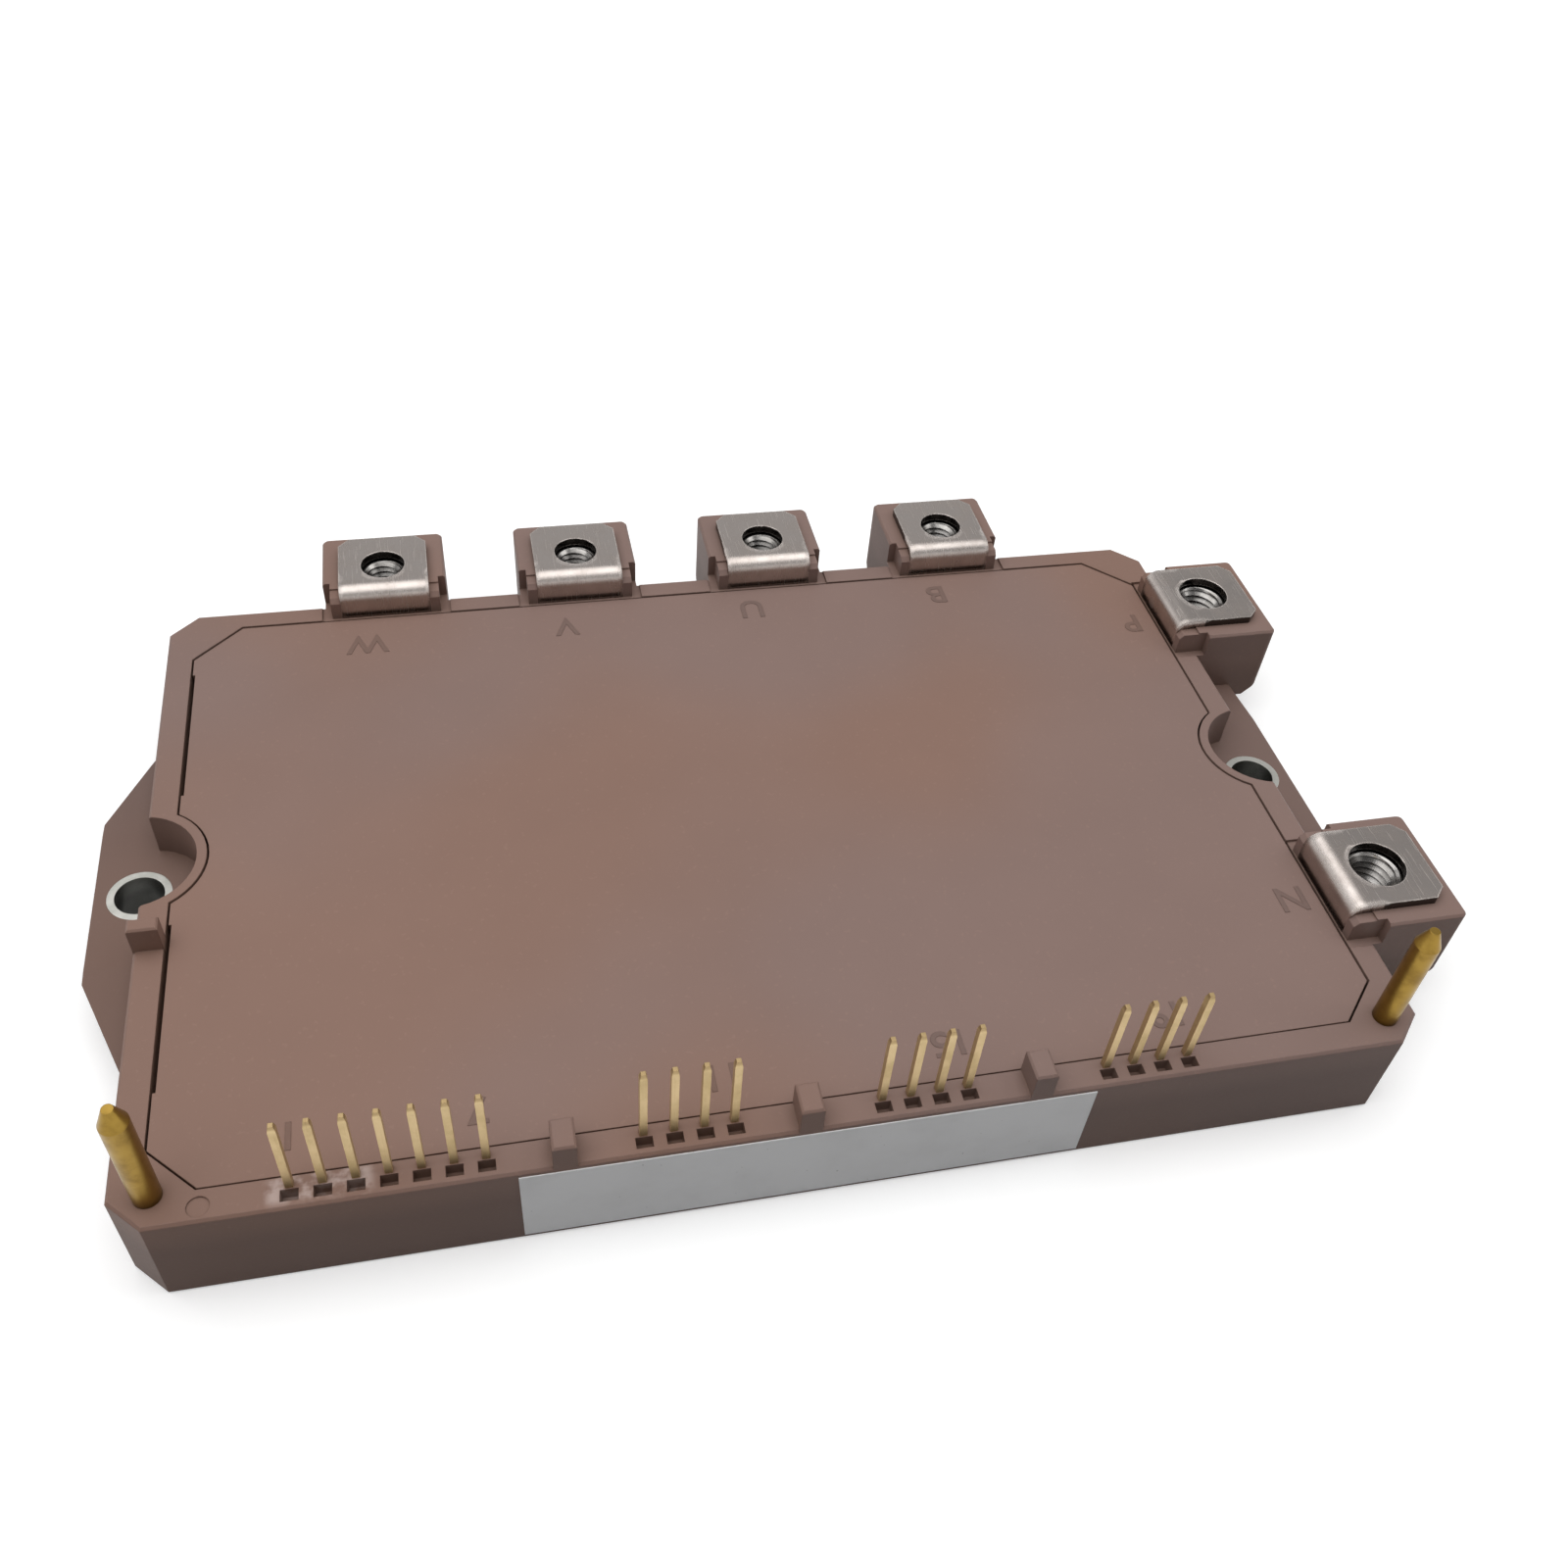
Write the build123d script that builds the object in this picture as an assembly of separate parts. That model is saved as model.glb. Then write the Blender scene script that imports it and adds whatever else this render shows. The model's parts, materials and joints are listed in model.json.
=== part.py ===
from build123d import *
import math
import os

# Three-phase inverter power module, lying on its metal base.
# Millimetres. X runs to the right along the pin row, Y to the back, Z up.
# The origin is the centre of the case on the mounting plane.

os.makedirs("parts", exist_ok=True)

# Case: walls of the moulded frame
case_width = 113.2
case_depth = 74.4
case_height = 10.4
case_corner_cut = 2.8
case_edge_cut = 0.25
frame_lift = 0.2

# Base plate
base_thickness = 3.0
base_inset = 3.0
base_corner_cut = 2.8
base_gap = 0.1

# Lid, set into the rim
lid_inset_side = 2.8
lid_inset_front = 3.0
lid_inset_back = 2.6
lid_cut_front = 4.0
lid_cut_back = 4.8
lid_thickness = 1.8
lid_sink = 0.1
lid_gap = 0.2
lid_ledge = 1.2
lip_depth = 0.9
lip_width = 1.0
lip_gap = 0.2

# Fixing ears with metal collars
mount_out = 1.4
mount_y = 1.3
mount_bore = 4.6
collar_wall = 0.7
recess_out = 0.95
recess_radius = 5.7
recess_rim = 1.1
ear_reach = 5.55
ear_top = 5.6
ear_end_top = 4.4
ear_pad_half = 8.6
ear_edge_half = 10.0
ear_knee_out = 1.8
ear_knee_half = 19.2
ear_root_half = 23.0

# Screw terminals: four along the back, two on the right
rear_places = {"w": -33.6, "v": -12.0, "u": 10.0, "b": 32.0}
side_places = {"n": -19.4, "p": 23.3}
block_width = 13.4
block_reach = 9.3
block_top = 12.8
block_floor = 3.3
block_corner_radius = 0.7
block_top_cut = 0.25
block_floor_cut = 1.6
block_root = 0.5
pedestal_reach = 5.7
block_notch = 1.0
saddle_width = 11.8
saddle_drop = 0.2
saddle_cut = 0.5
step_length = 14.0
step_depth = 0.3
groove_width = 0.4

# Terminal sheet: plate over the nut, riser in the wall, foot inside
sheet_thickness = 0.9
sheet_width = 9.7
sheet_bend = 0.5
sheet_end_gap = 1.5
sheet_corner_cut = 1.2
rear_hole = 4.8
side_hole = 5.6
rear_riser_cover = 1.0
side_riser_cover = 1.4
foot_length = 6.3
foot_seat = 4.4
foot_shelf_margin = 0.8

# Captive nut under each plate: M4 along the back, M5 at the side
rear_nut_across = 7.0
rear_nut_height = 3.2
rear_nut_bore = 3.3
side_nut_across = 8.0
side_nut_height = 4.0
side_nut_bore = 4.2
rear_nut_gap = 0.2
side_nut_gap = 0.1
nut_play = 0.2
rear_room_radius = 2.3
side_room_radius = 2.7
screw_room_floor = 4.8

# Control pins in groups along the front edge
pin_counts = (7, 4, 4, 4)
pin_pitch = 2.54
pin_group_gap = 12.7
first_pin_x = -42.8
pin_inset = 2.1
pin_size = 0.64
pin_tip_z = 19.0
pin_taper = 0.6
pin_point = 0.4
pin_bend_cut = 0.4
pin_foot_length = 5.5
pocket_width = 1.42
pocket_depth = 1.25
pocket_wall = 0.65
pocket_pin_gap = 0.1

# Guide pins at the front corners
guide_inset_x = 3.2
guide_inset_y = 2.9
guide_diameter = 2.3
guide_tip_diameter = 0.9
guide_tip_z = 22.7
guide_taper = 1.8
guide_root_cover = 1.0
guide_tail_diameter = 1.8

# Posts on the rim
front_post_width = 2.0
front_post_shift = -0.2
front_post_top = 13.2
side_post_width = 1.45
side_post_offset = 10.28
side_post_top = 13.3
post_lid_gap = 0.1
side_post_lid_gap = 0.15
post_edge_cut = 0.2

# Notches in the lid's left edge, and a round mark on the rim
lid_notch_depth = 0.25
lid_notch_start = 8.2
lid_notch_end = 26.1
mark_inset_x = 7.0
mark_inset_y = 1.3
mark_radius = 0.9
mark_depth = 0.15

# Label on the front wall
label_width = 49.6
label_margin = 0.6
label_shift = -0.4
label_thickness = 0.1

# Power circuit on the base plate
substrate_thickness = 0.9
substrate_width = 20.6
substrate_foot_gap = 1.6
substrate_board_gap = 3.0
chip_thickness = 0.4
igbt_size = 8.6
diode_width = 5.6
diode_length = 8.0
chip_margin_x = 1.6
chip_margin_y = 3.0

# Driver board on the frame's shelf
board_thickness = 1.6
board_back_y = -8.0
board_gap = 0.3
board_foot_gap = 1.5
board_shelf_width = 2.5
driver_length = 10.3
driver_width = 7.5
driver_height = 1.5
driver_lid_gap = 0.4
driver_y = -18.0

# Gel stops under the lid's lip
gel_gap = 0.1

# Places that follow from the sizes above
front_wall = -case_depth / 2
rear_wall = case_depth / 2
left_wall = -case_width / 2
right_wall = case_width / 2
lid_top = case_height - lid_sink
lid_underside = lid_top - lid_thickness
mount_x = right_wall + mount_out
collar_radius = mount_bore / 2 + collar_wall
recess_x = right_wall + recess_out
lid_arc_radius = recess_radius + recess_rim
step_floor = case_height - step_depth
plate_end = block_reach - sheet_end_gap
plate_top = block_top + sheet_thickness
pin_y = front_wall + pin_inset
pin_foot_z = lid_underside - driver_lid_gap - driver_height
board_seat = pin_foot_z - board_thickness
gel_top = lid_underside - lip_depth - gel_gap
over = 1.0


def cuboid(x_range, y_range, z_range):
    """Block between two values on each axis."""
    lengths = [high - low for low, high in (x_range, y_range, z_range)]
    middle = [(high + low) / 2 for low, high in (x_range, y_range, z_range)]
    return Pos(*middle) * Box(*lengths)


def prism(plan, z_low, z_high):
    """Upright solid over a flat outline."""
    return extrude(Pos(0, 0, z_low) * plan, amount=z_high - z_low, dir=(0, 0, 1))


def cut_rectangle(x_range, y_range, front_cut, back_cut):
    """Rectangle with cut corners, one size at the front and one at the back."""
    left, right = x_range
    front, back = y_range
    return Polygon(
        (left + front_cut, front),
        (right - front_cut, front),
        (right, front + front_cut),
        (right, back - back_cut),
        (right - back_cut, back),
        (left + back_cut, back),
        (left, back - back_cut),
        (left, front + front_cut),
    )


def lid_plan(inset):
    """Lid outline moved inwards by inset, with an arc round each mounting recess."""
    corner_change = inset * (2 - math.sqrt(2))
    half = case_width / 2 - lid_inset_side - inset
    plan = cut_rectangle(
        (-half, half),
        (front_wall + lid_inset_front + inset, rear_wall - lid_inset_back - inset),
        lid_cut_front - corner_change,
        lid_cut_back - corner_change,
    )
    for x in (-recess_x, recess_x):
        plan -= Pos(x, mount_y) * Circle(lid_arc_radius + inset)
    return plan


def bent_strip(path, thickness, inner_radius, width):
    """Strip along a path of (y, z) points, with every bend at one inner radius."""
    centre_line = FilletPolyline(*path, radius=inner_radius + thickness / 2)
    profile = trace(centre_line, line_width=thickness)
    return extrude(Plane.YZ * profile, amount=width / 2, both=True)


def terminal_places():
    """Place of each terminal: its wall's plane at the block's middle, local Y outwards."""
    places = {}
    for name, x in rear_places.items():
        places[name] = Pos(x, rear_wall, 0)
    for name, y in side_places.items():
        places[name] = Pos(right_wall, y, 0) * Rot(0, 0, -90)
    return places


def terminal_sizes(name):
    """Sizes of a terminal and its nut, which differ between the back and the side."""
    if name in side_places:
        return {
            "cover": side_riser_cover,
            "inset": lid_inset_side,
            "hole": side_hole,
            "nut": side_nut_across,
            "height": side_nut_height,
            "bore": side_nut_bore,
            "gap": side_nut_gap,
            "room": side_room_radius,
        }
    return {
        "cover": rear_riser_cover,
        "inset": lid_inset_back,
        "hole": rear_hole,
        "nut": rear_nut_across,
        "height": rear_nut_height,
        "bore": rear_nut_bore,
        "gap": rear_nut_gap,
        "room": rear_room_radius,
    }


def riser_front(name):
    """Distance from the wall's plane to the riser's face, inwards and so negative."""
    return -terminal_sizes(name)["cover"] - sheet_thickness


def foot_end(name):
    """Inner end of a terminal's foot."""
    return riser_front(name) - foot_length


def nut_centre(name):
    """Distance of the nut's axis outwards from the wall's plane."""
    sizes = terminal_sizes(name)
    return sizes["nut"] / 2 + sizes["gap"] - sizes["cover"]


def pin_positions():
    """X of each control pin, group by group."""
    groups = []
    x = first_pin_x
    for count in pin_counts:
        groups.append([x + index * pin_pitch for index in range(count)])
        x = groups[-1][-1] + pin_group_gap
    return groups


def group_middles():
    """Middle X of each group of control pins."""
    return [(group[0] + group[-1]) / 2 for group in pin_positions()]


def substrate_range(name):
    """X range and Y range of the substrate behind a rear terminal."""
    middle = rear_places[name]
    return (
        (middle - substrate_width / 2, middle + substrate_width / 2),
        (board_back_y + substrate_board_gap, rear_wall + foot_end(name) - substrate_foot_gap),
    )


# Metal and circuit pieces

def base_plate():
    """Flat plate that the circuit lies on and the heat sink meets."""
    half_x = case_width / 2 - base_inset
    half_y = case_depth / 2 - base_inset
    plan = cut_rectangle((-half_x, half_x), (-half_y, half_y), base_corner_cut, base_corner_cut)
    return prism(plan, 0, base_thickness)


def mounting_collar():
    """Sleeve that takes the mounting screw's load."""
    ring = Circle(collar_radius) - Circle(mount_bore / 2)
    return prism(ring, 0, ear_top)


def terminal(name):
    """Sheet bent twice: plate on the block, riser in the wall, foot on its shelf."""
    sizes = terminal_sizes(name)
    plate_z = block_top + sheet_thickness / 2
    riser_y = -sizes["cover"] - sheet_thickness / 2
    foot_z = foot_seat + sheet_thickness / 2
    path = [(plate_end, plate_z), (riser_y, plate_z), (riser_y, foot_z), (foot_end(name), foot_z)]
    sheet = bent_strip(path, sheet_thickness, sheet_bend, sheet_width)
    outer_corners = sheet.edges().filter_by(Axis.Z).group_by(Axis.Y)[-1]
    sheet = chamfer(outer_corners, sheet_corner_cut)
    hole = Pos(0, nut_centre(name)) * Circle(sizes["hole"] / 2)
    return sheet - prism(hole, block_top - over, plate_top + over)


def nut(name):
    """Hexagon nut with one flat facing the riser."""
    sizes = terminal_sizes(name)
    plan = RegularPolygon(sizes["nut"] / 2, 6, major_radius=False) - Circle(sizes["bore"] / 2)
    top = block_top - nut_play
    return prism(Pos(0, nut_centre(name)) * plan, top - sizes["height"], top)


def control_pin():
    """Square pin with a pointed tip, bent at the foot to lie on the driver board."""
    half = pin_size / 2
    shoulder = pin_tip_z - pin_taper
    side_view = Polygon(
        (-half, shoulder),
        (-half, pin_foot_z + pin_bend_cut),
        (-half + pin_bend_cut, pin_foot_z),
        (pin_foot_length, pin_foot_z),
        (pin_foot_length, pin_foot_z + pin_size),
        (half, pin_foot_z + pin_size),
        (half, shoulder),
    )
    wire = extrude(Plane.YZ * side_view, amount=half, both=True)
    lean = math.degrees(math.atan((pin_size - pin_point) / 2 / pin_taper))
    tip = extrude(Rectangle(pin_size, pin_size), amount=pin_taper, taper=lean)
    return wire + Pos(0, 0, shoulder) * tip


def guide_pin():
    """Round pin on a thinner tail, turned to a blunt cone at the top."""
    root = base_thickness + guide_root_cover
    half_section = Polygon(
        (0, root),
        (guide_tail_diameter / 2, root),
        (guide_tail_diameter / 2, case_height),
        (guide_diameter / 2, case_height),
        (guide_diameter / 2, guide_tip_z - guide_taper),
        (guide_tip_diameter / 2, guide_tip_z),
        (0, guide_tip_z),
    )
    return revolve(Plane.XZ * half_section, Axis.Z)


def label():
    """Thin bare label on the front wall."""
    middle = label_shift
    return cuboid(
        (middle - label_width / 2, middle + label_width / 2),
        (front_wall - label_thickness, front_wall),
        (label_margin, case_height - label_margin),
    )


def substrate(name):
    """Insulating plate that carries one phase's chips."""
    x_range, y_range = substrate_range(name)
    return cuboid(x_range, y_range, (base_thickness, base_thickness + substrate_thickness))


def chips(name):
    """Transistor and diode chips of one phase, back row first."""
    (left, right), (front, back) = substrate_range(name)
    bottom = base_thickness + substrate_thickness
    igbt_x = left + chip_margin_x + igbt_size / 2
    diode_x = right - chip_margin_x - diode_width / 2
    rows = {
        "high": back - chip_margin_y - igbt_size / 2,
        "low": front + chip_margin_y + igbt_size / 2,
    }
    found = {}
    for row, y in rows.items():
        igbt = Pos(igbt_x, y) * Rectangle(igbt_size, igbt_size)
        diode = Pos(diode_x, y) * Rectangle(diode_width, diode_length)
        found["igbt_" + name + "_" + row] = prism(igbt, bottom, bottom + chip_thickness)
        found["diode_" + name + "_" + row] = prism(diode, bottom, bottom + chip_thickness)
    return found


def board_plan(inset):
    """Front part of the cavity's outline, short of the right-hand terminals' feet."""
    reach = cuboid(
        (left_wall, right_wall + foot_end("n") - board_foot_gap),
        (front_wall, board_back_y),
        (-over, over),
    )
    return lid_plan(lid_ledge + inset) & reach


def control_board():
    """Driver board, held along its front and left edges."""
    return prism(board_plan(board_gap), board_seat, board_seat + board_thickness)


def driver_ics():
    """One driver circuit behind each group of pins, as separate solids."""
    bottom = board_seat + board_thickness
    return [
        prism(Pos(x, driver_y) * Rectangle(driver_length, driver_width), bottom, bottom + driver_height)
        for x in group_middles()
    ]


# Lid

def lid():
    """Flat cover with a lip that locates it in the frame, and two slits in its left edge."""
    cover = prism(lid_plan(0), lid_underside, lid_top)
    edge = left_wall + lid_inset_side
    for side in (-1, 1):
        ends = sorted((mount_y + side * lid_notch_start, mount_y + side * lid_notch_end))
        cover -= cuboid((edge - over, edge + lid_notch_depth), ends, (lid_underside, lid_top))
    lip = lid_plan(lid_ledge + lip_gap) - lid_plan(lid_ledge + lip_gap + lip_width)
    return cover + prism(lip, lid_underside - lip_depth, lid_underside)


# Frame

def ear(side):
    """Fixing ear, sloping down beyond the pad: tapered on the left, between two blocks on the right."""
    plan = Polygon(
        (0, -ear_root_half),
        (ear_knee_out, -ear_knee_half),
        (ear_reach, -ear_edge_half),
        (ear_reach, ear_edge_half),
        (ear_knee_out, ear_knee_half),
        (0, ear_root_half),
        (-mount_out, ear_root_half),
        (-mount_out, -ear_root_half),
    )
    if side > 0:
        low, high = [y - mount_y for y in sorted(side_places.values())]
        plan = Polygon((-mount_out, low), (ear_reach, low), (ear_reach, high), (-mount_out, high))
    elevation = Polygon(
        (-ear_root_half, frame_lift),
        (ear_root_half, frame_lift),
        (ear_root_half, ear_end_top),
        (ear_pad_half, ear_top),
        (-ear_pad_half, ear_top),
        (-ear_root_half, ear_end_top),
    )
    body = prism(plan, 0, ear_top) & extrude(Plane.YZ * elevation, amount=ear_reach, both=True)
    body = Pos(right_wall, mount_y, 0) * body
    return body if side > 0 else mirror(body, Plane.YZ)


def terminal_block(name):
    """Block that overhangs its pedestal, and the saddle that holds the riser's edges."""
    profile = Polygon(
        (-block_root, frame_lift),
        (pedestal_reach, frame_lift),
        (pedestal_reach, block_floor),
        (block_reach - block_floor_cut, block_floor),
        (block_reach, block_floor + block_floor_cut),
        (block_reach, block_top),
        (0, block_top),
        (0, step_floor),
        (-block_root, step_floor),
    )
    plan = Pos(0, (block_reach - block_root) / 2) * Rectangle(block_width, block_reach + block_root)
    plan = fillet(plan.vertices().group_by(Axis.Y)[-1], block_corner_radius)
    block = prism(plan, frame_lift, block_top)
    block &= extrude(Plane.YZ * profile, amount=block_width, both=True)
    top = block.faces().sort_by(Axis.Z)[-1]
    block = chamfer(top.edges().sort_by(Axis.Y)[1:], block_top_cut)
    for side in (-1, 1):
        across = sorted((side * saddle_width / 2, side * (block_width / 2 + over)))
        block -= cuboid(across, (-over, block_notch), (step_floor, block_top + over))
    saddle = cuboid(
        (-saddle_width / 2, saddle_width / 2),
        (riser_front(name), block_notch),
        (step_floor - over, block_top - saddle_drop),
    )
    near_edge = saddle.edges().group_by(Axis.Z)[-1].sort_by(Axis.Y)[0]
    return block + chamfer(near_edge, saddle_cut)


def terminal_cuts(name):
    """Nut pocket, room for the screw's end, and the groove along the lid's edge."""
    sizes = terminal_sizes(name)
    seat = block_top - nut_play - sizes["height"]
    hexagon = RegularPolygon(sizes["nut"] / 2 + sizes["gap"], 6, major_radius=False)
    pocket = prism(Pos(0, nut_centre(name)) * hexagon, seat, plate_top)
    room = prism(Pos(0, nut_centre(name)) * Circle(sizes["room"]), screw_room_floor, plate_top)
    groove = cuboid(
        (-step_length / 2, step_length / 2),
        (-sizes["inset"], groove_width - sizes["inset"]),
        (lid_underside, plate_top),
    )
    return pocket + room + groove


def rim_step(name):
    """Shallow step in the rim round a terminal."""
    return cuboid(
        (-step_length / 2, step_length / 2),
        (-terminal_sizes(name)["inset"], over),
        (step_floor, case_height + over),
    )


def foot_shelf(name):
    """Shelf under the foot of a terminal."""
    half = sheet_width / 2 + foot_shelf_margin
    return cuboid((-half, half), (foot_end(name), riser_front(name)), (base_thickness, foot_seat))


def board_shelf():
    """Shelf along the front and left walls for the driver board."""
    inside = lid_plan(lid_ledge + board_shelf_width)
    return prism(board_plan(-board_gap) - inside, base_thickness, board_seat)


def pin_pocket():
    """Open pocket in the rim in front of a control pin."""
    return cuboid(
        (-pocket_width / 2, pocket_width / 2),
        (pocket_wall - pin_inset, -pin_size / 2 - pocket_pin_gap),
        (case_height - pocket_depth, case_height + over),
    )


def front_posts():
    """Posts between the groups of pins."""
    back = front_wall + lid_inset_front - post_lid_gap
    groups = pin_positions()
    posts = []
    for left_group, right_group in zip(groups, groups[1:]):
        middle = (left_group[-1] + right_group[0]) / 2 + front_post_shift
        post = cuboid(
            (middle - front_post_width / 2, middle + front_post_width / 2),
            (front_wall, back),
            (lid_underside, front_post_top),
        )
        posts.append(chamfer(post.faces().sort_by(Axis.Z)[-1].edges(), post_edge_cut))
    return posts


def side_post():
    """Post on the left rim, in front of the mounting recess."""
    middle = mount_y - side_post_offset
    post = cuboid(
        (left_wall, left_wall + lid_inset_side - side_post_lid_gap),
        (middle - side_post_width / 2, middle + side_post_width / 2),
        (lid_underside, side_post_top),
    )
    return chamfer(post.faces().sort_by(Axis.Z)[-1].edges(), post_edge_cut)


def case_frame(inserts):
    """Moulded frame, shaped round the metal pieces that it is moulded onto."""
    half_x = case_width / 2
    plan = cut_rectangle((-half_x, half_x), (front_wall, rear_wall), case_corner_cut, case_corner_cut)
    frame = prism(plan, frame_lift, case_height)
    frame = chamfer(frame.faces().sort_by(Axis.Z)[-1].edges(), case_edge_cut)
    frame -= [place * rim_step(name) for name, place in terminal_places().items()]
    frame += [ear(-1), ear(1)]
    frame += [place * terminal_block(name) for name, place in terminal_places().items()]

    frame -= prism(lid_plan(lid_ledge), 0, case_height + over)
    frame -= prism(lid_plan(-lid_gap), lid_underside, case_height + over)
    frame += board_shelf()
    for name, place in terminal_places().items():
        frame += place * foot_shelf(name)
        frame -= place * terminal_cuts(name)
    frame += front_posts() + [side_post()]

    base_half_x = case_width / 2 - base_inset + base_gap
    base_half_y = case_depth / 2 - base_inset + base_gap
    seat = cut_rectangle(
        (-base_half_x, base_half_x), (-base_half_y, base_half_y), base_corner_cut, base_corner_cut
    )
    frame -= prism(seat, 0, base_thickness)
    for x in (-mount_x, mount_x):
        frame -= prism(Pos(x, mount_y) * Circle(collar_radius), 0, ear_top)
    for x in (-recess_x, recess_x):
        frame -= prism(Pos(x, mount_y) * Circle(recess_radius), ear_top, case_height + over)
    for group in pin_positions():
        frame -= [Pos(x, pin_y) * pin_pocket() for x in group]
    mark = Pos(left_wall + mark_inset_x, front_wall + mark_inset_y) * Circle(mark_radius)
    frame -= prism(mark, case_height - mark_depth, case_height + over)
    return frame - inserts


def gel_fill(pieces):
    """Gel that fills the cavity round the circuits, up to just under the lid's lip."""
    gel = prism(lid_plan(lid_ledge), base_thickness, gel_top) - board_shelf()
    gel -= [place * foot_shelf(name) for name, place in terminal_places().items()]
    return gel - pieces


# Assembly

moulded_in = {
    "mounting_collar_left": Pos(-mount_x, mount_y) * mounting_collar(),
    "mounting_collar_right": Pos(mount_x, mount_y) * mounting_collar(),
    "guide_pin_left": Pos(left_wall + guide_inset_x, front_wall + guide_inset_y) * guide_pin(),
    "guide_pin_right": Pos(right_wall - guide_inset_x, front_wall + guide_inset_y) * guide_pin(),
}
for name, place in terminal_places().items():
    moulded_in["terminal_" + name] = place * terminal(name)
pin_number = 0
for group in pin_positions():
    for x in group:
        pin_number += 1
        moulded_in[f"control_pin_{pin_number:02d}"] = Pos(x, pin_y) * control_pin()

circuit = {"control_board": control_board()}
for name in rear_places:
    circuit["substrate_" + name] = substrate(name)
    circuit.update(chips(name))
# The brake has one transistor and one diode
for name in ("igbt_b_low", "diode_b_low"):
    del circuit[name]

nodes = {
    "case_frame": case_frame(list(moulded_in.values())),
    "lid": lid(),
    "base_plate": base_plate(),
    "label": label(),
    "gel_fill": gel_fill(list(moulded_in.values()) + list(circuit.values()) + driver_ics()),
    "driver_ics": Compound(driver_ics()),
}
nodes.update(moulded_in)
nodes.update(circuit)
for name, place in terminal_places().items():
    nodes["nut_" + name] = place * nut(name)

for name, shape in nodes.items():
    export_step(shape, f"parts/{name}.step")
print(len(nodes), "pieces")
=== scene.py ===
# %% [markdown]
# # A three-phase power module in Blender
#
# The object is a flat moulded power module. It has screw terminals on two sides, a row of
# thin square pins along the front, and two brass guide pins.
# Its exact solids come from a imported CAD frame, so this lesson adds what solids lack:
# finishes, screw threads, marks moulded into the lid, light and a camera.

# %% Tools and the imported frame
import json
import math

import bmesh
import bpy
from mathutils import Matrix, Vector


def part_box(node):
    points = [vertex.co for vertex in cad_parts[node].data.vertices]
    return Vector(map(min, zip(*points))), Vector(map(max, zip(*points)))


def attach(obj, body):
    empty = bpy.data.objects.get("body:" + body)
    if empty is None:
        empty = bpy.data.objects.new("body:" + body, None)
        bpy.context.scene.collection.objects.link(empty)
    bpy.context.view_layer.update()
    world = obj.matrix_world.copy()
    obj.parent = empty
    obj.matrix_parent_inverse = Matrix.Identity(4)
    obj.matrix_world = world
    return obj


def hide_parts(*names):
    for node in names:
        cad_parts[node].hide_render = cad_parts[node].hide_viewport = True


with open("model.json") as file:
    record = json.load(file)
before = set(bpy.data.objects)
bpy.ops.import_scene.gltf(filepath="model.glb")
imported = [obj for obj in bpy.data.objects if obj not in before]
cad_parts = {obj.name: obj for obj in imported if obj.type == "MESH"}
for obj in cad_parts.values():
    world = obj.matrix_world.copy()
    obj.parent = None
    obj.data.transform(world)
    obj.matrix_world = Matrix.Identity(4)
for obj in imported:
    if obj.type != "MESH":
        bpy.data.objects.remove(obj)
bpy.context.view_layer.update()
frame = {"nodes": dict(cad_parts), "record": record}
nodes = frame["nodes"]
MM = 0.001
scene = bpy.context.scene

# %% [markdown]
# ## The camera
#
# A camera can be aimed by hand until the picture looks right. Here its place was worked out
# from the photograph instead, so that every edge of the object falls where the photograph
# has it. A place, a point to look at, a roll angle and a focal length are all it needs.

# %% Camera
EYE = Vector((-24.21, -100.06, 117.77)) * MM
AIM = Vector((5.64, 4.97, 8.0)) * MM
ROLL = math.radians(5.53)
FOCAL_LENGTH = 34.09
SENSOR_WIDTH = 36.0

camera_data = bpy.data.cameras.new("camera")
camera_data.lens = FOCAL_LENGTH
camera_data.sensor_width = SENSOR_WIDTH
camera_data.clip_start = 0.005
camera_data.clip_end = 10.0
camera = bpy.data.objects.new("camera", camera_data)
scene.collection.objects.link(camera)
turn = (AIM - EYE).to_track_quat("-Z", "Y").to_matrix().to_4x4()
camera.matrix_world = Matrix.Translation(EYE) @ turn @ Matrix.Rotation(ROLL, 4, "Z")
scene.camera = camera
print("camera stands", round((EYE - AIM).length / MM), "mm from its aim")

# %% [markdown]
# ## Floor and lamps
#
# The module lies on a white table under broad, soft light. A large plane gives the table.
# One big lamp hangs overhead, so the top of the module is light and its front wall, which
# faces the camera, stays in shade as in the photograph. A weaker lamp on the right gives
# the parts a lit side. No lamp stands behind the module: the flat terminal plates
# mirror that part of the room, and a lamp there would turn them white.

# %% Floor
FLOOR_SIZE = 3.0
FLOOR_DROP = 0.00002


def flat_square(name, size, height):
    """Square plane at a height, centred on the origin."""
    square = bmesh.new()
    bmesh.ops.create_grid(square, x_segments=1, y_segments=1, size=size / 2)
    bmesh.ops.translate(square, verts=square.verts, vec=(0, 0, height))
    mesh = bpy.data.meshes.new(name)
    square.to_mesh(mesh)
    square.free()
    placed = bpy.data.objects.new(name, mesh)
    scene.collection.objects.link(placed)
    return placed


floor = flat_square("floor", FLOOR_SIZE, -FLOOR_DROP)

# %% Lamps
LAMPS = {
    "overhead_lamp": {"at": (-0.12, 0.0, 0.56), "size": 0.8, "watts": 3.3},
    "right_lamp": {"at": (0.5, -0.02, 0.45), "size": 0.35, "watts": 0.6},
}


def add_lamp(name, at, size, watts):
    """Square area lamp that shines at the object."""
    data = bpy.data.lights.new(name, "AREA")
    data.size = size
    data.energy = watts
    lamp = bpy.data.objects.new(name, data)
    scene.collection.objects.link(lamp)
    lamp.location = at
    lamp.rotation_euler = (-Vector(at)).to_track_quat("-Z", "Y").to_euler()
    return lamp


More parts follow.
